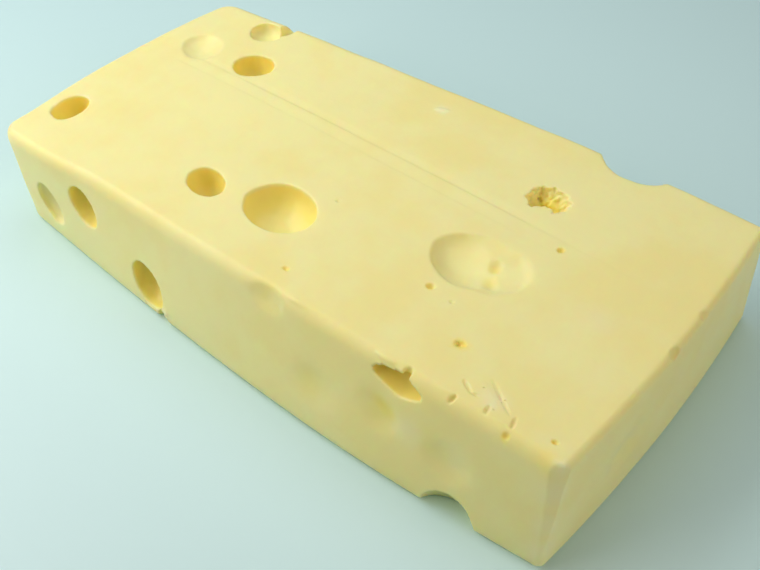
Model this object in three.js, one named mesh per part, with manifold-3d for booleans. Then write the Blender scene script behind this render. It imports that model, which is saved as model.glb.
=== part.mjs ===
// A block of eyed cheese: one solid piece, cut on all six sides, with the round gas eyes that the cuts opened.
// Millimetres, +Z up. +X runs along the block and +Y across it. The origin is the middle of the resting face.

import * as THREE from "three";
import { mergeVertices } from "three/addons/utils/BufferGeometryUtils.js";
import Module from "manifold-3d";

// The block at its fullest in each direction.
const LENGTH = 276.6;
const WIDTH = 140.6;
const HEIGHT = 43;
const EDGE_RADIUS = 4.5;

// How far each side draws in, because a soft block bows out in the middle of its sides.
const LEFT_END_BOW = 6.6;
const LEFT_FOOT_IN = 2.5; // the left end's foot lies in by this much
const RIGHT_END_BOW = 4;
const RIGHT_TOP_IN = 1.2; // the right end's top lies in by this much
const FRONT_LEAN = 10.5; // the front side leans back by this much from the resting face to the top
const LEAN_POWER = 1.5;
const FRONT_FULLEST_AT = 40;
const FRONT_BOW = { left: 12.1, right: 6.8 };
const BACK_FULLEST_AT = 53;
const BACK_BOW = { left: 5.5, right: 3.3 };

// Steps of the block's grid along each direction, and how many of them go round an edge.
const GRID = { along: 24, across: 12, up: 8, edge: 2 };

const LARGE_EYE = 12; // an eye over this half-width is drawn with finer facets
const SMALL_EYE = 7;

const PASTE_COLOUR = 0xf4e99e;
const PASTE_ROUGHNESS = 0.5;

const HALF_LENGTH = LENGTH / 2;
const HALF_WIDTH = WIDTH / 2;
const HALF_HEIGHT = HEIGHT / 2;

// An eye is an ellipsoid: at is its middle, size its three half-widths, and turn its tilt in degrees
// about the direction in which its face looks. Eyes on the top face lie "sunk" below that face.
const TOP_EYES = [
  { at: [-120.7, -34.9], size: [7.4, 9.8, 9], sunk: 2.5, turn: 5 },
  { at: [-111.2, 29.9], size: [10.4, 8.6, 3], sunk: -0.3, turn: -38 },
  { at: [-81.7, 32.6], size: [9.8, 8.4, 9.5], sunk: 3, turn: 15 },
  { at: [-96.8, 55.2], size: [8.6, 6.8, 6.5], sunk: 1.5, turn: -20 },
  { at: [-90.4, 63.1], size: [4.4, 6.5, 5.5], sunk: 0.5, turn: 0 },
  { at: [-39.4, -32.7], size: [9.8, 7.7, 9.5], sunk: 2.5, turn: -27 },
  { at: [-6.7, -26.4], size: [15.1, 12.8, 10.5], sunk: 0.3, turn: -15 },
  { at: [68, -6.3], size: [19.8, 14.2, 4.4], sunk: -1.4, turn: -8 },
  { at: [61.6, -7.8], size: [14.8, 11.2, 5.6], sunk: -0.6, turn: -33 },
  { at: [79.4, -2.6], size: [8.2, 9.4, 4.4], sunk: -0.9, turn: 20 },
  { at: [64.2, 34.8], size: [4.8, 6, 7.5], sunk: 1, turn: 0 },
  { at: [71, 35.8], size: [4.8, 5.6, 5.5], sunk: 0, turn: 20 },
  { at: [82, 79.2], size: [18.4, 18.4, 18.4], sunk: 5, turn: 0 },
];

const FRONT_EYES = [
  { at: [-105.9, 18.4], size: [8.8, 4.2, 6.6], sunk: 0.6, turn: 50 },
  { at: [-80.1, 29.9], size: [9.8, 8, 6.2], sunk: 2, turn: 38 },
  { at: [-41.2, 15.2], size: [9.6, 7.5, 6.6], sunk: 1.8, turn: 36 },
  { at: [19.2, 40.8], size: [8.6, 5.6, 6.8], sunk: -2.4, turn: 8 },
  { at: [75.7, 36.9], size: [10.4, 8, 3.4], sunk: 2.8, turn: 2 },
  { at: [100.4, -1.5], size: [10.6, 7.5, 12.4], sunk: 1, turn: 12 },
];

const BACK_EYES = [
  { at: [-111.4, 17], size: [7, 6, 8], sunk: 1, turn: 15 },
  { at: [-57.4, 22], size: [9.5, 9, 8], sunk: 2, turn: 20 },
  { at: [-23.4, 31], size: [5.5, 6, 6.5], sunk: 2, turn: 0 },
  { at: [16.6, 15], size: [11, 9, 9], sunk: 1, turn: -15 },
  { at: [44.4, 29], size: [6, 4, 5], sunk: 1, turn: 0 },
  { at: [121.6, 19], size: [6, 6, 7.5], sunk: 1.5, turn: 10 },
];

const LEFT_EYES = [
  { at: [-26.6, 22], size: [8, 9, 8], sunk: 2.2, turn: 10 },
  { at: [11.2, 31], size: [4, 4.5, 4], sunk: 1.5, turn: 0 },
  { at: [33, 15], size: [4, 7.5, 6], sunk: 1, turn: -20 },
];

const UNDERSIDE_EYES = [
  { at: [-83.4, -14.8], size: [12, 10, 9], sunk: 1, turn: 25 },
  { at: [-45.4, 33.2], size: [8, 7, 8], sunk: 2, turn: 0 },
  { at: [38.6, 25.2], size: [9, 10, 5], sunk: 0, turn: -20 },
  { at: [72.6, -30.8], size: [8, 7.5, 8], sunk: 2, turn: 40 },
];

const wasm = await Module();
wasm.setup();

function solidFrom(geometry) {
  const shell = geometry.clone();
  shell.deleteAttribute("normal");
  shell.deleteAttribute("uv");
  const closed = mergeVertices(shell, 1e-4);
  return new wasm.Manifold(
    new wasm.Mesh({
      numProp: 3,
      vertProperties: new Float32Array(closed.attributes.position.array),
      triVerts: closed.index ? new Uint32Array(closed.index.array) : countUp(closed),
    }),
  );
}

function countUp(geometry) {
  return Uint32Array.from({ length: geometry.attributes.position.count }, (_, i) => i);
}

function geometryFrom(solid) {
  const mesh = solid.getMesh();
  const geometry = new THREE.BufferGeometry();
  geometry.setAttribute("position", new THREE.BufferAttribute(mesh.vertProperties, 3));
  geometry.setIndex(new THREE.BufferAttribute(mesh.triVerts, 1));
  geometry.computeVertexNormals();
  return geometry;
}

// Sends an even grid line from -1..1 to a distance from the middle, with GRID.edge lines round each edge.
function gridPlace(t, steps, half) {
  const edgeShare = (2 * GRID.edge) / steps;
  const fromMiddle = Math.abs(t);
  const flatHalf = half - EDGE_RADIUS;
  const place =
    fromMiddle <= 1 - edgeShare
      ? (fromMiddle / (1 - edgeShare)) * flatHalf
      : flatHalf + ((fromMiddle - 1 + edgeShare) / edgeShare) * EDGE_RADIUS;
  return Math.sign(t) * place;
}

// Pulls a point of a sharp-edged box back onto the box with round edges.
function roundEdges(point) {
  const core = point
    .clone()
    .clamp(
      new THREE.Vector3(EDGE_RADIUS - HALF_LENGTH, EDGE_RADIUS - HALF_WIDTH, EDGE_RADIUS - HALF_HEIGHT),
      new THREE.Vector3(HALF_LENGTH - EDGE_RADIUS, HALF_WIDTH - EDGE_RADIUS, HALF_HEIGHT - EDGE_RADIUS),
    );
  return point.sub(core).setLength(EDGE_RADIUS).add(core);
}

function bow(distance, fullestAt, amount) {
  const reach = distance < fullestAt ? HALF_LENGTH + fullestAt : HALF_LENGTH - fullestAt;
  const share = (distance - fullestAt) / reach;
  return (distance < fullestAt ? amount.left : amount.right) * share * share;
}

// Draws the ends and the long sides in towards their corners, and leans the front side back.
function drawIn(point) {
  const along = point.x / HALF_LENGTH;
  const across = point.y / HALF_WIDTH;
  const high = point.z / HEIGHT;
  const up = Math.max(0, (point.z - EDGE_RADIUS) / (HEIGHT - EDGE_RADIUS));
  const leftIn = LEFT_END_BOW * across * across + LEFT_FOOT_IN * (1 - high);
  const rightIn = RIGHT_END_BOW * across * across + RIGHT_TOP_IN * high;
  const frontLow = bow(point.x, FRONT_FULLEST_AT, FRONT_BOW);
  const front = frontLow + (FRONT_LEAN - frontLow) * up ** LEAN_POWER;
  const side = point.y > 0 ? -bow(point.x, BACK_FULLEST_AT, BACK_BOW) : front;
  point.x += (point.x < 0 ? leftIn : -rightIn) * along * along;
  point.y += side * across * across;
  return point;
}

function uncutBlock() {
  const geometry = new THREE.BoxGeometry(2, 2, 2, GRID.along, GRID.across, GRID.up);
  const position = geometry.attributes.position;
  const point = new THREE.Vector3();
  for (let i = 0; i < position.count; i++) {
    point.fromBufferAttribute(position, i);
    point.set(
      gridPlace(point.x, GRID.along, HALF_LENGTH),
      gridPlace(point.y, GRID.across, HALF_WIDTH),
      gridPlace(point.z, GRID.up, HALF_HEIGHT),
    );
    roundEdges(point);
    point.z += HALF_HEIGHT;
    drawIn(point);
    position.setXYZ(i, point.x, point.y, point.z);
  }
  return solidFrom(geometry);
}

function ellipsoid(centre, size, axis, turn) {
  const widest = Math.max(...size);
  const detail = 1 + (widest > SMALL_EYE) + (widest > LARGE_EYE);
  const geometry = new THREE.IcosahedronGeometry(1, detail);
  geometry.scale(...size);
  geometry.applyQuaternion(new THREE.Quaternion().setFromAxisAngle(axis, THREE.MathUtils.degToRad(turn)));
  geometry.translate(...centre);
  return solidFrom(geometry);
}

const ACROSS = new THREE.Vector3(0, 1, 0);
const ALONG = new THREE.Vector3(1, 0, 0);
const UP = new THREE.Vector3(0, 0, 1);

// The front side's distance from the middle plane at a place along and up it.
function frontSide(x, z) {
  return drawIn(new THREE.Vector3(x, -HALF_WIDTH, z)).y;
}

function backSide(x, z) {
  return drawIn(new THREE.Vector3(x, HALF_WIDTH, z)).y;
}

function leftEnd(y, z) {
  return drawIn(new THREE.Vector3(-HALF_LENGTH, y, z)).x;
}

function openedEyes() {
  const top = TOP_EYES.map(({ at: [x, y], size, sunk, turn }) =>
    ellipsoid([x, y, HEIGHT - sunk], size, UP, turn),
  );
  const front = FRONT_EYES.map(({ at: [x, z], size, sunk, turn }) =>
    ellipsoid([x, frontSide(x, z) + sunk, z], size, ACROSS, turn),
  );
  const back = BACK_EYES.map(({ at: [x, z], size, sunk, turn }) =>
    ellipsoid([x, backSide(x, z) - sunk, z], size, ACROSS, turn),
  );
  const left = LEFT_EYES.map(({ at: [y, z], size, sunk, turn }) =>
    ellipsoid([leftEnd(y, z) + sunk, y, z], size, ALONG, turn),
  );
  const under = UNDERSIDE_EYES.map(({ at: [x, y], size, sunk, turn }) =>
    ellipsoid([x, y, sunk], size, UP, turn),
  );
  return [...top, ...front, ...back, ...left, ...under];
}

// Slides a solid so that the middle of its box's base is the origin.
function centred(solid) {
  const { min, max } = solid.boundingBox();
  return solid.translate([-(min[0] + max[0]) / 2, -(min[1] + max[1]) / 2, -min[2]]);
}

function cheeseBlock() {
  const solid = centred(openedEyes().reduce((block, eye) => block.subtract(eye), uncutBlock()));
  const paste = new THREE.MeshStandardMaterial({
    color: PASTE_COLOUR,
    roughness: PASTE_ROUGHNESS,
    metalness: 0,
  });
  const mesh = new THREE.Mesh(geometryFrom(solid), paste);
  mesh.name = "cheese_block";
  return mesh;
}

const group = new THREE.Group();
group.add(cheeseBlock());

export default group;
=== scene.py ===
"""A block of eyed cheese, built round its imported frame.

The block's surface follows one rule: a round-edged block with bowed sides, less its gas eyes, its flat cuts
and its knife marks. Geometry Nodes work the rule out in a grid of voxels, make a mesh of it and then move
each point of that mesh onto the rule's own surface. Blender works in metres; the lists give millimetres.
"""

import math

import bpy
from bpy.props import FloatProperty, FloatVectorProperty, IntProperty, PointerProperty
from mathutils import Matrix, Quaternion, Vector


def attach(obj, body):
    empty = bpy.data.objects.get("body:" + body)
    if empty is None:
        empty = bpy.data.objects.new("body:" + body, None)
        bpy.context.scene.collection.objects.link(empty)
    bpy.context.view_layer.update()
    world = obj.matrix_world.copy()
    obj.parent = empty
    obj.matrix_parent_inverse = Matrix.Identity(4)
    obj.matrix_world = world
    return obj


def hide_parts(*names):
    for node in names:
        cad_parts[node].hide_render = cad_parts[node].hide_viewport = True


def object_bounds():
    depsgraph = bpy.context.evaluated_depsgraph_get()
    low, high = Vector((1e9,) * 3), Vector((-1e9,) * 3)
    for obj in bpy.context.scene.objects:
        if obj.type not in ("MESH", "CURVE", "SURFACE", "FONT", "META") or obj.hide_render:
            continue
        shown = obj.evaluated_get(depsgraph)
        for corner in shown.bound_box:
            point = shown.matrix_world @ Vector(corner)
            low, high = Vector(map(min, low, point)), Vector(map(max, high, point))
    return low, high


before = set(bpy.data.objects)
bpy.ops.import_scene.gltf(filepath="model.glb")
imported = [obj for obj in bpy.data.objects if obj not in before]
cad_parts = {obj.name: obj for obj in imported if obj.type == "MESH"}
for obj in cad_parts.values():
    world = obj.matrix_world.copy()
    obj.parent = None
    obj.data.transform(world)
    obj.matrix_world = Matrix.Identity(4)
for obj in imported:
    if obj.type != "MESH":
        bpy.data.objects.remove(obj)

bl_info = {
    "name": "Eyed cheese block",
    "version": (1, 0, 0),
    "blender": (4, 5, 0),
    "location": "3D View > Sidebar > Cheese",
    "description": "Builds a block of cheese with gas eyes, its crumbs and a plain studio",
    "category": "Object",
}

CAD_LOW, CAD_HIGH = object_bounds()
CAD_SIZE = CAD_HIGH - CAD_LOW
CAD_NODE = "cheese_block"
BODY = "root"
MM = 0.001

# Each face of the straight-sided block: where its middle is, in half sizes of the block, and what the two
# numbers of an eye's place measure. "in" points into the cheese, and a turn is about that axis.
FACES = {
    "top": {"across": (0, 1), "in": 2, "side": 1},
    "underside": {"across": (0, 1), "in": 2, "side": -1},
    "front": {"across": (0, 2), "in": 1, "side": -1},
    "back": {"across": (0, 2), "in": 1, "side": 1},
    "left": {"across": (1, 2), "in": 0, "side": -1},
    "right": {"across": (1, 2), "in": 0, "side": 1},
}

# Gas eyes, in mm: face, place on it, half widths along x, y and z, how far the middle lies under the face,
# turn about the face's own axis in degrees, and how softly its rim is rounded.
EYES = [
    ("top", (-122.0, -37.3), (7.2, 10.2, 9.0), 2.5, 4, 0.9),
    ("top", (-125.4, -42.8), (3.2, 4.0, 6.0), 1.0, 20, 0.7),
    ("top", (-112.0, 30.7), (10.4, 8.6, 3.0), -0.3, -38, 2.2),
    ("top", (-82.2, 33.2), (9.8, 8.5, 9.5), 3.0, 15, 0.9),
    ("top", (-98.9, 57.4), (8.6, 7.0, 5.0), 0.8, -20, 1.0),
    ("top", (-92.6, 65.7), (4.4, 6.5, 5.5), 0.5, 0, 1.0),
    ("top", (-39.3, -36.3), (9.8, 8.2, 9.5), 2.5, -27, 0.9),
    ("top", (-6.4, -29.1), (15.1, 13.9, 10.5), 0.3, -15, 0.9),
    ("top", (67.8, -6.2), (17.8, 13.4, 4.4), -1.4, -8, 1.0),
    ("top", (62.2, -8.0), (13.9, 11.0, 5.8), -0.6, -33, 2.0),
    ("top", (78.0, -3.6), (7.4, 8.8, 4.0), -0.9, 20, 3.0),
    ("top", (71.2, -2.4), (2.8, 3.4, 2.4), 1.5, 25, 2.4),
    ("top", (73.2, -9.0), (5.4, 3.0, 2.2), 1.6, -35, 2.4),
    ("top", (83.6, 79.5), (18.2, 18.2, 18.2), 5.0, 0, 1.2),
    ("front", (-111.0, 17.4), (9.0, 4.2, 7.4), 0.6, 48, 1.5),
    ("front", (-84.5, 28.0), (9.6, 8.0, 6.6), 2.0, 38, 1.0),
    ("front", (-43.4, 12.4), (10.2, 7.5, 8.0), 1.8, 34, 1.0),
    ("front", (18.9, 39.8), (8.8, 5.6, 6.4), -3.0, 8, 2.6),
    ("front", (76.8, 37.4), (10.4, 8.0, 3.4), 2.6, 2, 0.6),
    ("front", (103.4, -1.5), (10.6, 6.0, 12.2), 0.6, 12, 0.8),
    ("back", (-113.4, 17.0), (7.0, 6.0, 8.0), 1.0, 15, 1.0),
    ("back", (-57.4, 22.0), (9.5, 9.0, 8.0), 2.0, 20, 0.9),
    ("back", (-23.4, 31.0), (5.5, 6.0, 6.5), 2.0, 0, 0.9),
    ("back", (16.6, 15.0), (11.0, 9.0, 9.0), 1.0, -15, 1.0),
    ("back", (44.6, 29.0), (6.0, 4.0, 5.0), 1.0, 0, 1.2),
    ("back", (122.6, 19.0), (6.0, 6.0, 7.5), 1.5, 10, 1.0),
    ("left", (-26.8, 22.0), (8.0, 9.0, 8.0), 2.2, 10, 0.9),
    ("left", (11.2, 31.0), (4.0, 4.5, 4.0), 1.5, 0, 0.9),
    ("left", (33.2, 15.0), (4.0, 7.5, 6.0), 1.0, -20, 1.2),
    ("underside", (-83.4, -14.8), (12.0, 10.0, 9.0), 1.0, 25, 1.0),
    ("underside", (-45.4, 33.2), (8.0, 7.0, 8.0), 2.0, 0, 0.9),
    ("underside", (38.6, 25.2), (9.0, 10.0, 5.0), 0.0, -20, 1.4),
    ("underside", (72.6, -30.8), (8.0, 7.5, 8.0), 2.0, 40, 0.9),
]

# Pockets whose walls tore instead of opening smoothly: the ragged eye, and the nick in an eye's roof.
RAGGED_POCKETS = [
    ("top", (64.4, 34.8), (4.4, 5.4, 6.5), 1.0, 10, 0.4),
    ("top", (71.2, 35.8), (4.2, 5.2, 4.2), 0.4, 25, 0.4),
    ("top", (68.4, 39.4), (4.4, 2.2, 2.6), 0.0, 0, 0.4),
    ("top", (84.9, -43.7), (2.4, 1.7, 1.5), 0.0, 40, 0.4),
]

# Pinholes and knife marks, too small to hold an eye's smooth bowl.
PINHOLES = [
    ("top", (79.0, -68.4), (1.5, 2.2, 4.2), 1.0, 0, 0.4),
    ("top", (61.4, -26.4), (1.5, 1.4, 1.2), 0.2, 0, 0.6),
    ("top", (71.2, -27.9), (0.9, 0.9, 0.7), 0.0, 0, 0.5),
    ("top", (85.3, 16.0), (1.1, 1.1, 1.1), 0.2, 0, 0.6),
    ("top", (17.4, -55.6), (1.3, 1.1, 0.9), 0.0, 0, 0.6),
    ("top", (7.8, -11.4), (0.8, 0.8, 0.6), 0.0, 0, 0.5),
    ("top", (129.6, -60.8), (1.0, 1.0, 1.0), 0.2, 0, 0.5),
    ("top", (117.0, -69.0), (1.2, 1.2, 1.4), 1.0, 0, 0.5),
    ("top", (96.2, -68.2), (0.9, 2.2, 1.4), 0.6, -15, 0.5),
    ("top", (107.6, -56.0), (8.2, 0.7, 0.6), 0.0, -40, 0.5),
    ("top", (97.2, -59.8), (3.4, 0.7, 0.6), 0.0, -38, 0.5),
    ("top", (101.0, -61.2), (1.6, 0.6, 0.6), 0.0, 30, 0.5),
    ("top", (116.4, -63.4), (0.7, 3.2, 0.7), 0.0, 14, 0.5),
    ("top", (107.3, -64.6), (0.7, 2.4, 0.6), 0.1, 14, 0.5),
    ("front", (-35.4, 1.4), (3.2, 2.8, 3.6), 0.4, 25, 0.6),
    ("right", (19.2, 42.5), (1.5, 2.2, 1.8), 0.4, 0, 0.8),
    ("right", (-0.3, 42.0), (1.6, 2.6, 1.9), 0.4, 0, 0.8),
]

# Thin flaps that the knife dragged up and laid flat beside its marks, listed as the eyes are.
FLAPS = [
    ("top", (105.6, -58.6), (9.4, 1.9, 0.8), 0.5, -38, 0.5),
    ("top", (113.8, -66.4), (3.9, 1.1, 0.8), 0.6, -14, 0.5),
    ("top", (91.8, -67.6), (2.8, 1.0, 0.9), 0.8, -3, 0.5),
    ("top", (70.3, -67.8), (4.6, 1.2, 1.0), 0.8, 4, 0.5),
    ("top", (31.0, -67.6), (6.0, 1.2, 0.9), 0.8, -4, 0.6),
    ("top", (134.6, -66.8), (2.4, 1.6, 1.0), 0.7, 20, 0.5),
    ("top", (2.8, 55.4), (3.0, 1.0, 0.5), 0.36, 30, 0.6),
    ("front", (-32.4, 5.6), (1.4, 0.8, 3.4), 0.5, 20, 0.5),
]

# Broad soft dents, which only bend the light a little.
DENTS = [
    ("front", (72.0, 25.2), (9.0, 3.6, 6.5), -2.1, 10, 3.5),
    ("front", (44.5, 19.0), (12.0, 3.4, 7.0), -2.2, 0, 3.5),
    ("front", (100.6, 22.0), (9.0, 3.2, 6.0), -2.2, 0, 3.5),
    ("back", (82.6, 16.0), (12.0, 3.2, 8.0), -2.2, 0, 3.5),
    ("right", (-24.8, 20.0), (3.4, 12.0, 7.0), -2.3, 0, 3.5),
]

# Flat facets that the knife left: a point on the cut, and the way the cut faces.
CUTS = [
    ((135.5, -70.3, 21.0), (0.72, -0.69, 0.08)),
]

# Spots of painted shade and paler spots: the middle of each in the straight block, how far it reaches in
# mm, and how strongly it colours. Above 0 a spot paints shade, a warmer, deeper yellow, into pits, dents
# and the torn pocket. A spot below 0 is paler than the paste round it; on the knife facet it paints light.
PAINTED_SHADE_AND_PALE_SPOTS = [
    ((72.0, -70.3, 25.2), 9.0, 0.2),
    ((42.0, -70.3, 18.8), 7.0, 0.2),
    ((71.2, -2.4, 38.6), 3.6, 0.5),
    ((73.6, -8.6, 38.8), 5.0, 0.4),
    ((67.6, 35.6, 37.0), 10.5, 1.0),
    ((84.9, -43.7, 42.2), 4.5, 0.8),
    ((61.4, -26.4, 42.2), 2.6, 1.0),
    ((85.3, 16.0, 42.2), 2.2, 1.0),
    ((17.4, -55.6, 42.4), 2.2, 0.8),
    ((117.0, -69.0, 41.4), 2.4, 0.8),
    ((129.6, -60.8, 42.4), 2.0, 0.8),
    ((131.0, -68.0, 41.0), 6.0, 0.35),
    ((18.9, -68.0, 39.8), 8.5, 0.2),
    ((84.4, -70.3, 24.0), 8.0, -0.35),
    ((106.4, -58.6, 43.0), 8.0, -0.5),
    ((112.0, -4.0, 43.0), 9.0, -0.3),
    ((2.8, 55.4, 43.0), 4.5, -0.8),
    ((-33.0, -70.0, 5.0), 4.5, -0.8),
    ((136.5, -68.5, 42.0), 5.0, -0.8),
    ((137.0, -68.5, 32.0), 8.0, -0.4),
    ((137.0, -68.5, 20.0), 8.0, -0.4),
    ((137.0, -68.5, 8.0), 8.0, -0.4),
]


def length_property(name, description, metres, **more):
    return FloatProperty(name=name, description=description, default=metres, unit="LENGTH", **more)


def colour_property(name, description, colour):
    return FloatVectorProperty(name=name, description=description, subtype="COLOR", default=colour)


class CheeseBlockSizes(bpy.types.PropertyGroup):
    """The block's own sizes, before its eyes are taken away."""

    length: length_property("Length", "Over the bowed ends", CAD_SIZE.x)
    width: length_property("Width", "Over the bowed long sides", CAD_SIZE.y)
    height: length_property("Height", "From the resting face to the top", CAD_SIZE.z)
    soft_edge: length_property("Soft edge", "Radius of the top edge at the left end", 5.5 * MM)
    sharp_edge: length_property("Sharp edge", "Radius of the top edge at the right end", 2.5 * MM)
    front_edge: length_property("Front edge", "Radius of the top edge along the front", 4.6 * MM)
    foot_edge: length_property("Foot edge", "Radius round the resting face", 2 * MM)
    soft_corner: length_property("Soft corner", "Radius of the upright edges at the left end", 9 * MM)
    sharp_corner: length_property("Sharp corner", "Radius of the upright edges at the right end", 2.5 * MM)
    left_end_bow: length_property("Left end bow", "How far the left end draws in at its sides", 6.6 * MM)
    left_foot_in: length_property("Left foot in", "How far the foot of the left end draws in", 2.5 * MM)
    right_end_bow: length_property("Right end bow", "How far the right end draws in at its sides", 4 * MM)
    right_top_in: length_property("Right top in", "How far the top of the right end draws in", 1.2 * MM)
    front_lean: length_property("Front lean", "How far the front leans back", 12 * MM)
    front_shoulder: length_property(
        "Front shoulder", "How much more it leans clear of its left end", 7.5 * MM
    )
    front_fullest: length_property("Front fullest at", "Where the front bows most", 40 * MM)
    back_fullest: length_property("Back fullest at", "Where the back bows most", 53 * MM)
    voxel: length_property("Voxel", "Grid step of the rule", 0.6 * MM, precision=5)
    most_triangles: IntProperty(
        name="Most triangles", description="The finished mesh has about this many", default=190000
    )


class CheeseSurface(bpy.types.PropertyGroup):
    """How uneven the cut faces and the eyes are."""

    waves: length_property("Waves", "Height of the faces' broad waves", 0.5 * MM)
    ripples: length_property("Ripples", "Height of the faces' short ripples", 0.1 * MM)
    unevenness: length_property("Unevenness", "How far an eye's wall wanders", 1.4 * MM)
    raggedness: length_property("Raggedness", "How far a torn wall wanders", 2.6 * MM)
    groove_depth: length_property("Groove", "Depth of the long knife groove", 0.28 * MM)
    seed: IntProperty(name="Seed", description="Places the crumbs", default=7)


class CheeseColours(bpy.types.PropertyGroup):
    """Colours and finish of the paste."""

    paste: colour_property("Paste", "Colour of the cut faces", (0.965, 0.895, 0.415))
    ripe: colour_property("Ripe paste", "Colour of the darker clouds", (0.94, 0.83, 0.325))
    # The pale paste also paints light on the knife facet.
    pale: colour_property("Pale paste", "Colour of the palest spots", (0.97, 0.92, 0.58))
    # The eye colour is painted shade deep in the eyes and pits, partly the eyes' own warmer paste; the eye
    # depth is where that painted shade pales at an eye's lit bottom.
    eye: colour_property("Eye", "Colour deep in an eye", (1.0, 0.80, 0.15))
    eye_depth: length_property("Eye depth", "Depth where the paste is palest again", 10.5 * MM)
    roughness: FloatProperty(
        name="Roughness", description="Of the waxy faces", default=0.46, subtype="FACTOR"
    )
    glow: FloatProperty(
        name="Glow", description="Share of light that enters the paste", default=0.7, subtype="FACTOR"
    )


class CheeseStage(bpy.types.PropertyGroup):
    """The plain studio."""

    floor: colour_property("Floor", "Colour of the pale floor", (0.60, 0.84, 0.85))
    light: FloatProperty(name="Light", description="Power of the four soft lights together", default=10.0)
    sky: FloatProperty(name="Sky", description="Strength of the even light", default=0.05)
    lens: FloatProperty(name="Lens", description="Focal length of the camera in mm", default=46.1)


# Nodes as sums: a Value is a number or a vector in a node tree, and sums of Values add the nodes they need.


class Value:
    """A socket that can be added, multiplied and so on; each operation adds one Math node."""

    def __init__(self, socket):
        self.socket = socket

    def __add__(self, other):
        return maths("ADD", self, other)

    def __radd__(self, other):
        return maths("ADD", other, self)

    def __sub__(self, other):
        return maths("SUBTRACT", self, other)

    def __rsub__(self, other):
        return maths("SUBTRACT", other, self)

    def __mul__(self, other):
        return maths("MULTIPLY", self, other)

    def __rmul__(self, other):
        return maths("MULTIPLY", other, self)

    def __truediv__(self, other):
        return maths("DIVIDE", self, other)

    def __pow__(self, other):
        return maths("POWER", self, other)

    def __neg__(self):
        return maths("MULTIPLY", self, -1.0)


def plug(socket, value):
    """Sets a socket to a number or vector, or links it to a Value."""
    if isinstance(value, Value):
        socket.id_data.links.new(value.socket, socket)
    else:
        socket.default_value = value


def tree_of(values):
    return next(v.socket.id_data for v in values if isinstance(v, Value))


def maths(operation, *values):
    node = tree_of(values).nodes.new("ShaderNodeMath")
    node.operation = operation
    for socket, value in zip(node.inputs, values):
        plug(socket, value)
    return Value(node.outputs[0])


def vector_maths(operation, *values):
    node = tree_of(values).nodes.new("ShaderNodeVectorMath")
    node.operation = operation
    for socket, value in zip(node.inputs, values):
        plug(socket, value)
    gives_number = operation in ("LENGTH", "DOT_PRODUCT", "DISTANCE")
    return Value(node.outputs["Value" if gives_number else "Vector"])


def scaled(vector, factor):
    node = tree_of([vector]).nodes.new("ShaderNodeVectorMath")
    node.operation = "SCALE"
    plug(node.inputs[0], vector)
    plug(node.inputs["Scale"], factor)
    return Value(node.outputs["Vector"])


def split(vector):
    node = tree_of([vector]).nodes.new("ShaderNodeSeparateXYZ")
    plug(node.inputs[0], vector)
    return [Value(socket) for socket in node.outputs]


def joined(x, y, z):
    node = tree_of([x, y, z]).nodes.new("ShaderNodeCombineXYZ")
    for socket, value in zip(node.inputs, (x, y, z)):
        plug(socket, value)
    return Value(node.outputs[0])


def larger(a, b):
    return maths("MAXIMUM", a, b)


def smaller(a, b):
    return maths("MINIMUM", a, b)


def ramp(value, start, end):
    """0 before start, 1 after end, and a smooth step between them."""
    share = smaller(larger((value - start) / (end - start), 0.0), 1.0)
    return share * share * (3.0 - 2.0 * share)


def noise(point, scale, detail=2.0):
    """Blender's noise at a point: its value and its colour, each centred on 0."""
    node = tree_of([point]).nodes.new("ShaderNodeTexNoise")
    plug(node.inputs["Vector"], point)
    node.inputs["Scale"].default_value = scale
    node.inputs["Detail"].default_value = detail
    centred = vector_maths("SUBTRACT", Value(node.outputs["Color"]), (0.5, 0.5, 0.5))
    return Value(node.outputs[0]) - 0.5, centred


def new_group(name, inputs, outputs):
    """A Geometry Nodes group with named sockets, and its input node's Values by name."""
    group = bpy.data.node_groups.new(name, "GeometryNodeTree")
    for label, kind in inputs:
        group.interface.new_socket(label, in_out="INPUT", socket_type="NodeSocket" + kind)
    for label, kind in outputs:
        group.interface.new_socket(label, in_out="OUTPUT", socket_type="NodeSocket" + kind)
    entry = group.nodes.new("NodeGroupInput")
    group.nodes.new("NodeGroupOutput")
    return group, {socket.name: Value(socket) for socket in entry.outputs if socket.name}


def give(group, **results):
    """Links Values to the group's output sockets, named with underscores for spaces."""
    output = next(node for node in group.nodes if node.type == "GROUP_OUTPUT")
    for name, value in results.items():
        plug(output.inputs[name.replace("_", " ")], value)


def call(tree, group, values):
    """Uses a group inside a tree; values holds Values or numbers by the group's socket names."""
    node = tree.nodes.new("GeometryNodeGroup")
    node.node_tree = group
    for socket in node.inputs:
        if socket.name in values:
            plug(socket, values[socket.name])
    return {socket.name: Value(socket) for socket in node.outputs}


SIZE_INPUTS = [
    "Length",
    "Width",
    "Height",
    "Soft edge",
    "Sharp edge",
    "Front edge",
    "Foot edge",
    "Soft corner",
    "Sharp corner",
    "Left end bow",
    "Left foot in",
    "Right end bow",
    "Right top in",
    "Front lean",
    "Front shoulder",
    "Front fullest",
    "Back fullest",
    "Waves",
    "Ripples",
    "Unevenness",
    "Raggedness",
    "Groove depth",
]

FRONT_BOW_PER_METRE = (0.38, 0.70)  # how fast the front draws in, left and right of its fullest place
BACK_BOW_PER_METRE = (0.150, 0.45)
LEAN_POWER = 1.5
LEAN_FROM = 3 * MM  # the front stands upright below this height
SHOULDER_STEPS = ((-110 * MM, -70 * MM, 0.67), (-20 * MM, 50 * MM, 0.33))  # from, to, and share of it


def parabola(x, fullest, rates):
    """How far a side has drawn in at x."""
    away = x - fullest
    before = maths("LESS_THAN", away, 0.0)
    return away * away * (before * (rates[0] - rates[1]) + rates[1])


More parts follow.
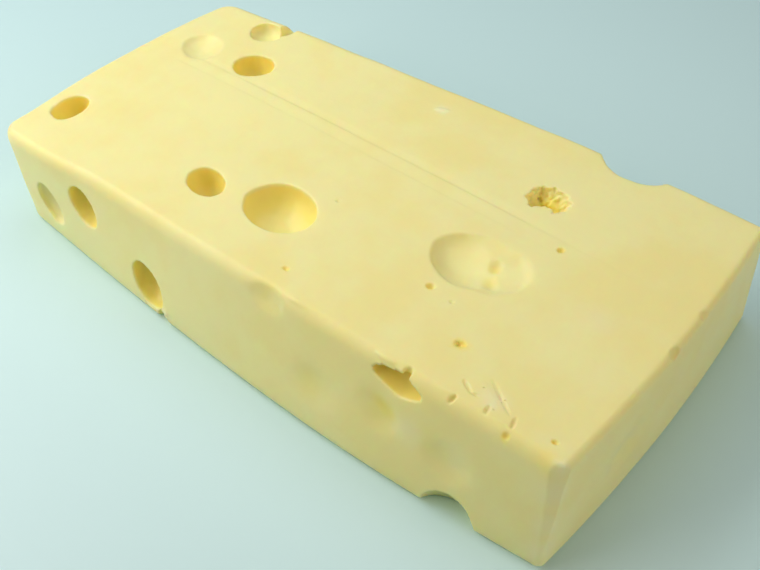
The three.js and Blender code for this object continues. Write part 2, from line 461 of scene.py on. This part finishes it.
def straighten_group():
    """Takes a point of the bowed block to its place in a block with straight sides."""
    group, given = new_group(
        "Straighten", [("Point", "Vector")] + [(n, "Float") for n in SIZE_INPUTS], [("Straight", "Vector")]
    )
    x, y, z = split(given["Point"])
    along = x / (given["Length"] * 0.5)
    across = y / (given["Width"] * 0.5)
    at_left = maths("LESS_THAN", x, 0.0)
    high = smaller(larger(z / given["Height"], 0.0), 1.0)
    left = given["Left end bow"] * across * across + given["Left foot in"] * (1.0 - high)
    right = given["Right end bow"] * across * across + given["Right top in"] * high
    end = at_left * (left + right) - right
    low = parabola(x, given["Front fullest"], FRONT_BOW_PER_METRE)
    up = smaller(larger((z - LEAN_FROM) / (given["Height"] - LEAN_FROM), 0.0), 1.0)
    lean = given["Front lean"]
    for start, end_at, share in SHOULDER_STEPS:
        lean = lean + given["Front shoulder"] * ramp(x, start, end_at) * share
    front = low + (lean - low) * up**LEAN_POWER
    back = parabola(x, given["Back fullest"], BACK_BOW_PER_METRE)
    at_back = maths("GREATER_THAN", y, 0.0)
    side = front * (1.0 - at_back) - back * at_back
    straight_x = x - end * along * along
    straight_y = y - side * across * across
    give(group, Straight=joined(straight_x, straight_y, z))
    return group


def rounded(over):
    """How far a point lies past two planes that meet at a right angle: over holds both distances."""
    outside = vector_maths("LENGTH", vector_maths("MAXIMUM", over, (0.0, 0.0, 0.0)))
    first, second, _ = split(over)
    return outside + smaller(larger(first, second), 0.0)


# Shares of a half size or of the height over which one edge gives way to the next.
SHARPENS = (-1.0, 0.5)  # from the soft left end to the sharp right one
FRONT_EDGE_BEGINS = (-0.70, -0.92)
FRONT_EDGE_ENDS = (0.94, 1.0)
FOOT_TO_TOP = (0.25, 0.75)


def round_block_group():
    """Signed distance to the straight block with round edges, softest along its left top."""
    group, given = new_group(
        "Round block",
        [("Straight", "Vector")] + [(n, "Float") for n in SIZE_INPUTS],
        [("Distance", "Float")],
    )
    x, y, z = split(given["Straight"])
    half = [given[name] * 0.5 for name in ("Length", "Width", "Height")]
    to_right = ramp(x / half[0], *SHARPENS)
    corner = given["Soft corner"] + (given["Sharp corner"] - given["Soft corner"]) * to_right
    across = joined(maths("ABSOLUTE", x) - half[0] + corner, maths("ABSOLUTE", y) - half[1] + corner, 0.0)
    sides = rounded(across) - corner
    top_edge = given["Soft edge"] + (given["Sharp edge"] - given["Soft edge"]) * to_right
    to_front = ramp(y / half[1], *FRONT_EDGE_BEGINS) * (1.0 - ramp(x / half[0], *FRONT_EDGE_ENDS))
    top_edge = top_edge + (given["Front edge"] - top_edge) * to_front
    to_top = ramp(z / given["Height"], *FOOT_TO_TOP)
    radius = given["Foot edge"] + (top_edge - given["Foot edge"]) * to_top
    up = joined(sides + radius, maths("ABSOLUTE", z - half[2]) - half[2] + radius, 0.0)
    give(group, Distance=rounded(up) - radius)
    return group


def gas_eye_group():
    """Takes one ellipsoid out of a field and rounds the rim where they meet."""
    group, given = new_group(
        "Gas eye",
        [
            ("Field", "Float"),
            ("Point", "Vector"),
            ("Middle", "Vector"),
            ("Half widths", "Vector"),
            ("Turn", "Vector"),
            ("Rim", "Float"),
        ],
        [("Field", "Float")],
    )
    offset = vector_maths("SUBTRACT", given["Point"], given["Middle"])
    turned = group.nodes.new("ShaderNodeVectorRotate")
    turned.rotation_type = "EULER_XYZ"
    turned.invert = True
    plug(turned.inputs["Vector"], offset)
    plug(turned.inputs["Rotation"], given["Turn"])
    unit = vector_maths("DIVIDE", Value(turned.outputs[0]), given["Half widths"])
    slope = vector_maths("LENGTH", vector_maths("DIVIDE", unit, given["Half widths"]))
    from_middle = vector_maths("LENGTH", unit)
    distance = from_middle * (from_middle - 1.0) / larger(slope, MM)
    give(group, Field=maths("SMOOTH_MAX", given["Field"], -distance, given["Rim"]))
    return group


GROOVE_AT = 23.5 * MM  # the groove runs along the top at this distance from the middle line
GROOVE_DRIFT = 0.083  # and drifts towards it by this much per squared metre
GROOVE_FROM = -118 * MM
GROOVE_FULL = GROOVE_FROM + 12 * MM
GROOVE_FADES, GROOVE_TO = 40 * MM, 128 * MM
GROOVE_ABOVE = 20 * MM  # the underside has none
GROOVE_BACK, GROOVE_FRONT = 4.2 * MM, 0.7 * MM  # its broad slope and its steep one
SECOND_GROOVE = (6.5 * MM, 0.35)  # how far in front a fainter one runs, and how faint it is


def knife_grooves(point, depth):
    """Depth of the long shallow grooves that the knife left along the top."""
    x, y, z = split(point)
    past = x - GROOVE_FROM
    beside = y - GROOVE_AT + past * past * GROOVE_DRIFT
    second_beside = beside + SECOND_GROOVE[0]
    sunk = groove_share(beside) + groove_share(second_beside) * SECOND_GROOVE[1]
    along = ramp(x, GROOVE_FROM, GROOVE_FULL) * (1.0 - ramp(x, GROOVE_FADES, GROOVE_TO))
    return sunk * along * depth * maths("GREATER_THAN", z, GROOVE_ABOVE)


def groove_share(beside):
    """1 in the bottom of a groove and 0 outside it."""
    behind = maths("GREATER_THAN", beside, 0.0)
    width = behind * (GROOVE_BACK - GROOVE_FRONT) + GROOVE_FRONT
    return 1.0 - ramp(maths("ABSOLUTE", beside) / width, 0.0, 1.0)


CUT_RIM = 0.3 * MM
DEEP_EYE = 6.8  # mm; a shallower one gets no painted shade and keeps the colour of the faces
# strength of the painted shade on the walls of the deep eyes, partly their own warmer paste
EYE_PAINTED_SHADE = 0.7
EYE_FADES_BY = 1.5  # an eye's painted shade is gone at this many of its widest half widths
EYE_COLOURS_FROM, EYE_COLOURS_FULLY = 0.3 * MM, 2.0 * MM  # depths under the face where an eye's painted shade starts and where it is full
SPOT_CORE = 0.15  # share of a spot's reach that it colours fully
SMOOTH_FOOT = 4 * MM  # the waves start above the resting face
WAVE_SCALE, RIPPLE_SCALE = 24.0, 95.0  # noise scales, per metre
EYE_SCALE, TORN_SCALE = 55.0, 420.0


def eye_middle(face, place, sunk):
    """The middle of an eye in the straight block, in metres."""
    half = CAD_SIZE / 2
    side = FACES[face]
    middle = Vector((0, 0, 0))
    for axis, distance in zip(side["across"], place):
        middle[axis] = distance * MM
    inward = side["in"]
    middle[inward] = side["side"] * (half[inward] - sunk * MM)
    if inward == 2:
        middle.z += half.z
    return middle


def open_eyes(group, field, point, eyes):
    """Takes each eye of a list out of the field in turn."""
    gas_eye = bpy.data.node_groups.get("Gas eye") or gas_eye_group()
    for face, place, half_widths, sunk, turn, rim in eyes:
        angles = [0.0, 0.0, 0.0]
        angles[FACES[face]["in"]] = math.radians(turn)
        values = {
            "Field": field,
            "Point": point,
            "Middle": eye_middle(face, place, sunk),
            "Half widths": [width * MM for width in half_widths],
            "Turn": angles,
            "Rim": rim * MM,
        }
        field = call(group, gas_eye, values)["Field"]
    return field


def lay_flaps(group, field, point):
    """Adds each thin flap to the field: the gas eyes' own sum, turned inside out."""
    return -open_eyes(group, -field, point, FLAPS)


def cheese_field_group():
    """The whole rule: signed distance to the surface, depth under the uncut faces, and the painted shade
    and warmth of the eyes and spots.
    """
    group, given = new_group(
        "Cheese field",
        [("Point", "Vector")] + [(n, "Float") for n in SIZE_INPUTS],
        [("Distance", "Float"), ("Depth", "Float"), ("Ripeness", "Float")],
    )
    straight = call(group, straighten_group(), given)["Straight"]
    block = call(group, round_block_group(), {**given, "Straight": straight})["Distance"]
    waves = noise(given["Point"], WAVE_SCALE)[0] * given["Waves"]
    ripples = noise(given["Point"], RIPPLE_SCALE)[0] * given["Ripples"]
    above_foot = ramp(split(given["Point"])[2], 0.0, SMOOTH_FOOT)
    field = block + (waves + ripples) * 2.0 * above_foot
    field = field + knife_grooves(straight, given["Groove depth"])
    for through, facing in CUTS:
        way = Vector(facing).normalized()
        offset = vector_maths("SUBTRACT", straight, Vector(through) * MM)
        field = maths("SMOOTH_MAX", field, vector_maths("DOT_PRODUCT", offset, way), CUT_RIM)
    wander = noise(given["Point"], EYE_SCALE)[1]
    torn = noise(given["Point"], TORN_SCALE, detail=3.0)[1]
    uneven = vector_maths("ADD", straight, scaled(wander, given["Unevenness"] * 2.0))
    ragged = vector_maths("ADD", uneven, scaled(torn, given["Raggedness"] * 2.0))
    field = lay_flaps(group, field, uneven)
    field = open_eyes(group, field, uneven, DENTS + EYES)
    field = open_eyes(group, field, ragged, RAGGED_POCKETS)
    field = open_eyes(group, field, straight, PINHOLES)
    give(group, Distance=field, Depth=-block, Ripeness=painted_shade_and_warmth_of(uneven, -block))
    return group


def painted_shade_and_warmth_of(point, depth):
    """Painted shade, partly the deep eyes' own warmer paste: on the walls of the deep eyes and at the
    listed spots, some of which are paler instead.
    """
    in_eye = 0.0
    for face, place, half_widths, sunk, _, _ in EYES:
        if half_widths[FACES[face]["in"]] + sunk > DEEP_EYE:
            away = vector_maths("DISTANCE", point, eye_middle(face, place, sunk))
            reach = max(half_widths) * MM
            in_eye = larger(1.0 - ramp(away, reach, EYE_FADES_BY * reach), in_eye)
    painted_shade_and_warmth = in_eye * ramp(depth, EYE_COLOURS_FROM, EYE_COLOURS_FULLY) * EYE_PAINTED_SHADE
    for middle, reach, strength in PAINTED_SHADE_AND_PALE_SPOTS:
        away = vector_maths("DISTANCE", point, Vector(middle) * MM)
        near = 1.0 - ramp(away, SPOT_CORE * reach * MM, reach * MM)
        painted_shade_and_warmth = painted_shade_and_warmth + near * strength
    return painted_shade_and_warmth


STEP = 0.05 * MM  # how far apart the field is read to find its slope
FARTHEST_MOVE = 0.4 * MM
LEAST_STEEPNESS = 0.2
SETTLING_STEPS = 2


def onto_surface_group(field):
    """Moves each point of a mesh along the field's slope onto the surface."""
    group, given = new_group(
        "Onto surface",
        [("Geometry", "Geometry")] + [(n, "Float") for n in SIZE_INPUTS],
        [("Geometry", "Geometry")],
    )
    here = Value(group.nodes.new("GeometryNodeInputPosition").outputs[0])

    def read_at(offset):
        point = vector_maths("ADD", here, offset)
        return call(group, field, {**given, "Point": point})["Distance"]

    distance = read_at((0.0, 0.0, 0.0))
    slope = joined(
        *[(read_at(offset) - distance) / STEP for offset in ((STEP, 0, 0), (0, STEP, 0), (0, 0, STEP))]
    )
    steepness = larger(vector_maths("DOT_PRODUCT", slope, slope), LEAST_STEEPNESS)
    move = smaller(larger(distance / steepness, -FARTHEST_MOVE), FARTHEST_MOVE)
    node = group.nodes.new("GeometryNodeSetPosition")
    plug(node.inputs["Geometry"], given["Geometry"])
    plug(node.inputs["Offset"], scaled(slope, -move))
    give(group, Geometry=Value(node.outputs[0]))
    return group


MARGIN = 2.4 * MM  # empty voxels round the block
INSIDE_LEVEL = 0.5
FIELD_TO_DENSITY = 50.0


def voxel_mesh_group(field):
    """Works the field out in a grid over the block and makes a mesh of its surface."""
    group, given = new_group(
        "Cheese voxels",
        [("Geometry", "Geometry"), ("Voxel", "Float")] + [(n, "Float") for n in SIZE_INPUTS],
        [("Geometry", "Geometry")],
    )
    here = Value(group.nodes.new("GeometryNodeInputPosition").outputs[0])
    distance = call(group, field, {**given, "Point": here})["Distance"]
    length, width, height = [given[name] for name in ("Length", "Width", "Height")]
    high = joined(length * 0.5 + MARGIN, width * 0.5 + MARGIN, height + MARGIN)
    low = joined(length * -0.5 - MARGIN, width * -0.5 - MARGIN, -MARGIN)
    grid = group.nodes.new("GeometryNodeVolumeCube")
    plug(grid.inputs["Density"], INSIDE_LEVEL - distance * FIELD_TO_DENSITY)
    plug(grid.inputs["Min"], low)
    plug(grid.inputs["Max"], high)
    for axis, span in zip("XYZ", split(vector_maths("SUBTRACT", high, low))):
        plug(grid.inputs["Resolution " + axis], maths("CEIL", span / given["Voxel"]) + 1.0)
    surface = group.nodes.new("GeometryNodeVolumeToMesh")
    plug(surface.inputs["Volume"], Value(grid.outputs[0]))
    plug(surface.inputs["Threshold"], INSIDE_LEVEL)
    give(group, Geometry=Value(surface.outputs[0]))
    return group


def finish_group(field, material):
    """Settles the thinned mesh on the surface, stores its depth and its painted shade and warmth, and gives
    it its paste.
    """
    group, given = new_group(
        "Cheese finish",
        [("Geometry", "Geometry")] + [(n, "Float") for n in SIZE_INPUTS],
        [("Geometry", "Geometry")],
    )
    settle = onto_surface_group(field)
    geometry = given["Geometry"]
    for _ in range(SETTLING_STEPS):
        geometry = call(group, settle, {**given, "Geometry": geometry})["Geometry"]
    here = Value(group.nodes.new("GeometryNodeInputPosition").outputs[0])
    rule = call(group, field, {**given, "Point": here})
    geometry = stored(geometry, "eye_depth", rule["Depth"])
    geometry = stored(geometry, "painted_shade_and_warmth", rule["Ripeness"])
    smooth = group.nodes.new("GeometryNodeSetShadeSmooth")
    plug(smooth.inputs["Geometry"], geometry)
    give(group, Geometry=with_material(Value(smooth.outputs[0]), material))
    return group


def stored(geometry, name, value):
    """Keeps a number with each point of the mesh, for the material to read."""
    store = tree_of([geometry]).nodes.new("GeometryNodeStoreNamedAttribute")
    store.data_type = "FLOAT"
    store.domain = "POINT"
    plug(store.inputs["Geometry"], geometry)
    plug(store.inputs["Name"], name)
    plug(store.inputs["Value"], value)
    return Value(store.outputs[0])


def with_material(geometry, material):
    """Ends a tree: instances are made real, and all of it gets one material."""
    tree = tree_of([geometry])
    real = tree.nodes.new("GeometryNodeRealizeInstances")
    plug(real.inputs[0], geometry)
    painted = tree.nodes.new("GeometryNodeSetMaterial")
    painted.inputs["Material"].default_value = material
    plug(painted.inputs["Geometry"], Value(real.outputs[0]))
    return Value(painted.outputs[0])


def run_nodes(piece, group, values):
    """Runs a node group on a piece and keeps the result as its plain mesh."""
    modifier = piece.modifiers.new(group.name, "NODES")
    modifier.node_group = group
    for item in group.interface.items_tree:
        if item.in_out == "INPUT" and item.name in values:
            modifier[item.identifier] = values[item.name]
    keep_result(piece)


def keep_result(piece):
    """Turns a piece's modifiers into its own plain mesh."""
    evaluated = piece.evaluated_get(bpy.context.evaluated_depsgraph_get())
    mesh = bpy.data.meshes.new_from_object(evaluated)
    piece.modifiers.clear()
    piece.data = mesh
    mesh.name = piece.name


def thin_out(piece, most_triangles):
    """Collapses the flattest parts of the mesh until it has few enough triangles."""
    triangles = sum(len(polygon.vertices) - 2 for polygon in piece.data.polygons)
    if triangles > most_triangles:
        modifier = piece.modifiers.new("Thin out", "DECIMATE")
        modifier.ratio = most_triangles / triangles
        keep_result(piece)


def new_piece(name):
    piece = bpy.data.objects.new(name, bpy.data.meshes.new(name))
    bpy.context.scene.collection.objects.link(piece)
    return piece


def ride_and_replace(piece, *nodes):
    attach(piece, BODY)
    if nodes:
        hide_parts(*nodes)


def size_values(scene):
    """The sizes by their socket names, from the two property groups that hold them."""
    values = {}
    for name in SIZE_INPUTS:
        key = name.lower().replace(" ", "_")
        group = scene.cheese_sizes if hasattr(scene.cheese_sizes, key) else scene.cheese_surface
        values[name] = getattr(group, key)
    values["Voxel"] = scene.cheese_sizes.voxel
    return values


# The paste

BOTTOM_FADE = 0.55  # how much paler the lit bottom of a deep eye is: how much of the painted shade it loses
BOTTOM_FROM = 0.6  # share of the eye depth where it starts to pale
CLOUD_SCALE, BLOTCH_SCALE, GRAIN_SCALE, PORE_SCALE = 16.0, 70.0, 900.0, 210.0  # per metre
CLOUD_SHARE = 0.65  # of the clouds in the riper patches; the blotches give the rest
RIPE_FROM, RIPE_TO, MOST_RIPE = 0.42, 0.62, 0.7
BLOTCH_ROUGHNESS, GRAIN_ROUGHNESS = 0.22, 0.1
SCATTER_REACH = (1.0, 0.6, 0.2)  # how far red, green and blue travel inside, as shares of the depth
SCATTER_DEPTH = 3.5 * MM
KNIFE_DRAG = (14.0, 260.0, 260.0)  # noise scales along, across and up, so it is drawn out along the block
PORE_EDGES = (0.02, 0.16)
BUMP_SHARES = {"grain": 0.35, "drag": 0.25, "pores": 0.12}
BUMP_STRENGTH, BUMP_HEIGHT = 0.5, 0.12 * MM


def paste_material(name, colours, glow):
    """Waxy yellow paste: cloudy, a little see-through, with painted shade, partly the eyes' own warmth,
    deep in the eyes and pits, and painted light on the knife facet.
    """
    material = bpy.data.materials.new(name)
    material.use_nodes = True
    tree = material.node_tree
    shader = next(node for node in tree.nodes if node.type == "BSDF_PRINCIPLED")
    place = Value(tree.nodes.new("ShaderNodeTexCoord").outputs["Object"])
    depth = attribute(tree, "eye_depth")
    painted_shade_and_warmth = attribute(tree, "painted_shade_and_warmth")
    clouds = shader_noise(place, CLOUD_SCALE, 3.0)
    blotches = shader_noise(place, BLOTCH_SCALE, 4.0)
    grain = shader_noise(place, GRAIN_SCALE, 3.0)
    patches = clouds * CLOUD_SHARE + blotches * (1.0 - CLOUD_SHARE)
    ripe = ramp(patches, RIPE_FROM, RIPE_TO)
    paste = mixed(ripe * MOST_RIPE, (*colours.paste, 1.0), (*colours.ripe, 1.0))
    at_bottom = ramp(depth, BOTTOM_FROM * colours.eye_depth, colours.eye_depth)
    # Painted shade: a warmer, deeper yellow on the walls of the deep eyes, in pits, dents and the torn
    # pocket, where shade falls, partly the eyes' own warmer paste; less of it at an eye's lit bottom.
    painted_warm_shade = larger(painted_shade_and_warmth, 0.0) * (0.85 + blotches * 0.3)
    tint = smaller(painted_warm_shade * (1.0 - BOTTOM_FADE * at_bottom), 1.0)
    paste = mixed(tint, paste, (*colours.eye, 1.0))
    # Paler paste where the spots fall below 0, which paints light on the knife facet.
    paste = mixed(larger(-painted_shade_and_warmth, 0.0), paste, (*colours.pale, 1.0))
    plug(shader.inputs["Base Color"], paste)
    roughness = colours.roughness + (blotches - 0.5) * BLOTCH_ROUGHNESS
    plug(shader.inputs["Roughness"], roughness + (grain - 0.5) * GRAIN_ROUGHNESS)
    shader.inputs["Subsurface Weight"].default_value = glow
    shader.inputs["Subsurface Radius"].default_value = SCATTER_REACH
    shader.inputs["Subsurface Scale"].default_value = SCATTER_DEPTH
    shader.inputs["IOR"].default_value = 1.42
    shader.inputs["Specular IOR Level"].default_value = 0.42
    plug(shader.inputs["Normal"], paste_bump(place, grain))
    return material


def attribute(tree, name):
    """A number that the mesh keeps with its points."""
    node = tree.nodes.new("ShaderNodeAttribute")
    node.attribute_name = name
    return Value(node.outputs["Fac"])


def shader_noise(place, scale, detail):
    node = tree_of([place]).nodes.new("ShaderNodeTexNoise")
    plug(node.inputs["Vector"], place)
    node.inputs["Scale"].default_value = scale
    node.inputs["Detail"].default_value = detail
    return Value(node.outputs[0])


def mixed(share, first, second):
    """Mixes two colours."""
    node = tree_of([share, first, second]).nodes.new("ShaderNodeMix")
    node.data_type = "RGBA"
    colour_inputs = [socket for socket in node.inputs if socket.type == "RGBA"]
    plug(node.inputs[0], share)
    plug(colour_inputs[0], first)
    plug(colour_inputs[1], second)
    return Value(next(socket for socket in node.outputs if socket.type == "RGBA"))


def paste_bump(place, grain):
    """Fine grain, shallow pores and the drag of the knife along the block."""
    tree = tree_of([place])
    drawn = vector_maths("MULTIPLY", place, KNIFE_DRAG)
    drag = shader_noise(drawn, 1.0, 2.0)
    pores = tree.nodes.new("ShaderNodeTexVoronoi")
    plug(pores.inputs["Vector"], place)
    pores.inputs["Scale"].default_value = PORE_SCALE
    pore = ramp(Value(pores.outputs["Distance"]), *PORE_EDGES)
    height = grain * BUMP_SHARES["grain"] + drag * BUMP_SHARES["drag"] + pore * BUMP_SHARES["pores"]
    bump = tree.nodes.new("ShaderNodeBump")
    bump.inputs["Strength"].default_value = BUMP_STRENGTH
    bump.inputs["Distance"].default_value = BUMP_HEIGHT
    plug(bump.inputs["Height"], height)
    return Value(bump.outputs[0])


# Crumbs

CRUMB_SPOTS = [((103.0, -51.0, 43.0), 7.0), ((73.5, 30.5, 43.0), 4.0)]
CRUMBS_PER_SQUARE_METRE = 40000.0
CRUMB_SIZES = (0.2 * MM, 0.42 * MM)
CRUMB_CORE = 0.3  # share of a spot's reach where they lie thickest
CRUMB_NOISE_SCALE, CRUMB_TEAR = 1.4, 1.3
FULL_TURN = 6.28


def crumb_group(material):
    """Scatters small torn lumps over a surface round the torn spots."""
    group, given = new_group(
        "Crumbs", [("Geometry", "Geometry"), ("Seed", "Int")], [("Geometry", "Geometry")]
    )
    here = Value(group.nodes.new("GeometryNodeInputPosition").outputs[0])
    share = 0.0
    for spot, reach in CRUMB_SPOTS:
        away = vector_maths("DISTANCE", here, Vector(spot) * MM)
        near = 1.0 - ramp(away, CRUMB_CORE * reach * MM, reach * MM)
        share = larger(share, near) if isinstance(share, Value) else near
    scatter = group.nodes.new("GeometryNodeDistributePointsOnFaces")
    plug(scatter.inputs["Mesh"], given["Geometry"])
    plug(scatter.inputs["Density"], share * CRUMBS_PER_SQUARE_METRE)
    plug(scatter.inputs["Seed"], given["Seed"])
    lump = group.nodes.new("GeometryNodeMeshIcoSphere")
    lump.inputs["Radius"].default_value = 1.0
    lump.inputs["Subdivisions"].default_value = 2
    at = Value(group.nodes.new("GeometryNodeInputPosition").outputs[0])
    torn = group.nodes.new("GeometryNodeSetPosition")
    plug(torn.inputs["Geometry"], Value(lump.outputs[0]))
    plug(torn.inputs["Offset"], scaled(noise(at, CRUMB_NOISE_SCALE)[1], CRUMB_TEAR))
    placed = group.nodes.new("GeometryNodeInstanceOnPoints")
    plug(placed.inputs["Points"], Value(scatter.outputs["Points"]))
    plug(placed.inputs["Instance"], Value(torn.outputs[0]))
    smallest, largest = CRUMB_SIZES
    plug(placed.inputs["Rotation"], random_vector(group, 0.0, FULL_TURN, 1))
    plug(placed.inputs["Scale"], random_vector(group, smallest, largest, 2))
    smooth = group.nodes.new("GeometryNodeSetShadeSmooth")
    plug(smooth.inputs["Geometry"], Value(placed.outputs[0]))
    give(group, Geometry=with_material(Value(smooth.outputs[0]), material))
    return group


def random_vector(tree, low, high, seed):
    """Three random numbers between low and high."""
    node = tree.nodes.new("FunctionNodeRandomValue")
    node.data_type = "FLOAT_VECTOR"
    node.inputs[0].default_value = [low] * 3
    node.inputs[1].default_value = [high] * 3
    node.inputs["Seed"].default_value = seed
    return Value(node.outputs[0])


# The stage

CAMERA_AT = Vector((203.2, -196.8, 269.1)) * MM
CAMERA_SEES = Vector((31.8, -17.4, 20.0)) * MM
CAMERA_ROLL = math.radians(-4.09)
FLOOR_SIDE = 6.0
FLOOR_GAP = 0.05 * MM
FLOOR_ROUGHNESS = 0.5
SENSOR_WIDTH = 36.0
NEAREST_SEEN = 0.01
SKY_COLOUR = (0.93, 0.98, 1.0, 1.0)
SOFT_LIGHTS = {  # place in metres, side of the light, its share of the power, and its colour
    "left light": ((-0.46, -0.14, 0.5), 0.4, 0.235, (1.0, 1.0, 1.0)),
    "front light": ((-0.36, -0.52, 0.42), 0.4, 0.175, (1.0, 0.84, 0.74)),
    "right light": ((1.0, 0.0, 0.58), 0.9, 0.465, (1.0, 0.86, 0.78)),
    "back light": ((-0.1, 0.25, 0.6), 0.5, 0.125, (1.0, 1.0, 1.0)),
}


def aim(thing, at, towards, roll=0.0):
    """Puts a light or a camera somewhere and turns it to look at a point."""
    thing.location = at
    turn = (towards - at).to_track_quat("-Z", "Y")
    thing.rotation_mode = "QUATERNION"
    thing.rotation_quaternion = turn @ Quaternion((0, 0, 1), roll)


def add_object(name, data):
    thing = bpy.data.objects.new(name, data)
    bpy.context.scene.collection.objects.link(thing)
    return thing


def add_camera(lens):
    data = bpy.data.cameras.new("camera")
    data.lens = lens
    data.sensor_width = SENSOR_WIDTH
    data.clip_start = NEAREST_SEEN
    camera = add_object("camera", data)
    aim(camera, CAMERA_AT, CAMERA_SEES, CAMERA_ROLL)
    bpy.context.scene.camera = camera


def add_area_light(name, at, size, power, colour):
    data = bpy.data.lights.new(name, "AREA")
    data.color = colour
    data.shape = "SQUARE"
    data.size = size
    data.energy = power
    light = add_object(name, data)
    aim(light, at, Vector((0, 0, 0)))


def add_floor(colour):
    half = FLOOR_SIDE / 2
    mesh = bpy.data.meshes.new("floor")
    outline = ((-half, -half), (half, -half), (half, half), (-half, half))
    corners = [(x, y, -FLOOR_GAP) for x, y in outline]
    mesh.from_pydata(corners, [], [(0, 1, 2, 3)])
    floor = add_object("floor", mesh)
    material = bpy.data.materials.new("pale floor")
    material.use_nodes = True
    shader = next(node for node in material.node_tree.nodes if node.type == "BSDF_PRINCIPLED")
    shader.inputs["Base Color"].default_value = (*colour, 1.0)
    shader.inputs["Roughness"].default_value = FLOOR_ROUGHNESS
    mesh.materials.append(material)


def set_sky(strength):
    world = bpy.data.worlds.new("sky")
    world.use_nodes = True
    background = next(node for node in world.node_tree.nodes if node.type == "BACKGROUND")
    background.inputs["Color"].default_value = SKY_COLOUR
    background.inputs["Strength"].default_value = strength
    bpy.context.scene.world = world


class CHEESE_OT_block(bpy.types.Operator):
    """Build the block of cheese with its eyes"""

    bl_idname = "cheese.block"
    bl_label = "Cheese block"

    def execute(self, context):
        scene = context.scene
        colours = scene.cheese_colours
        material = paste_material("cheese paste", colours, colours.glow)
        values = size_values(scene)
        field = cheese_field_group()
        piece = new_piece("cheese")
        run_nodes(piece, voxel_mesh_group(field), values)
        thin_out(piece, scene.cheese_sizes.most_triangles)
        run_nodes(piece, finish_group(field, material), values)
        ride_and_replace(piece, CAD_NODE)
        return {"FINISHED"}


class CHEESE_OT_crumbs(bpy.types.Operator):
    """Scatter the crumbs that cling where the cheese tore"""

    bl_idname = "cheese.crumbs"
    bl_label = "Crumbs"

    def execute(self, context):
        cheese = bpy.data.objects["cheese"]
        piece = new_piece("crumbs")
        piece.data = cheese.data.copy()
        material = paste_material("cheese crumb", context.scene.cheese_colours, 0.0)
        run_nodes(piece, crumb_group(material), {"Seed": context.scene.cheese_surface.seed})
        ride_and_replace(piece)
        return {"FINISHED"}


class CHEESE_OT_stage(bpy.types.Operator):
    """Add the floor, the lights and the camera"""

    bl_idname = "cheese.stage"
    bl_label = "Stage"

    def execute(self, context):
        stage = context.scene.cheese_stage
        add_camera(stage.lens)
        add_floor(stage.floor)
        for name, (at, side, share, colour) in SOFT_LIGHTS.items():
            add_area_light(name, Vector(at), side, stage.light * share, colour)
        set_sky(stage.sky)
        context.scene.view_settings.view_transform = "Standard"
        return {"FINISHED"}


OPERATORS = (CHEESE_OT_block, CHEESE_OT_crumbs, CHEESE_OT_stage)
PROPERTY_GROUPS = {
    "cheese_sizes": CheeseBlockSizes,
    "cheese_surface": CheeseSurface,
    "cheese_colours": CheeseColours,
    "cheese_stage": CheeseStage,
}


class VIEW3D_PT_cheese(bpy.types.Panel):
    """Lists the pieces and their settings"""

    bl_label = "Cheese"
    bl_idname = "VIEW3D_PT_cheese"
    bl_space_type = "VIEW_3D"
    bl_region_type = "UI"
    bl_category = "Cheese"

    def draw(self, context):
        for operator in OPERATORS:
            self.layout.operator(operator.bl_idname)
        for name in PROPERTY_GROUPS:
            settings = getattr(context.scene, name)
            box = self.layout.box()
            for key in settings.bl_rna.properties.keys():
                if key not in ("rna_type", "name"):
                    box.prop(settings, key)


def register():
    for name, group in PROPERTY_GROUPS.items():
        bpy.utils.register_class(group)
        setattr(bpy.types.Scene, name, PointerProperty(type=group))
    for kind in (*OPERATORS, VIEW3D_PT_cheese):
        bpy.utils.register_class(kind)


def unregister():
    for kind in (VIEW3D_PT_cheese, *OPERATORS):
        bpy.utils.unregister_class(kind)
    for name, group in PROPERTY_GROUPS.items():
        delattr(bpy.types.Scene, name)
        bpy.utils.unregister_class(group)


def main():
    register()
    bpy.ops.cheese.block()
    bpy.ops.cheese.crumbs()
    bpy.ops.cheese.stage()


if __name__ == "__main__":
    main()
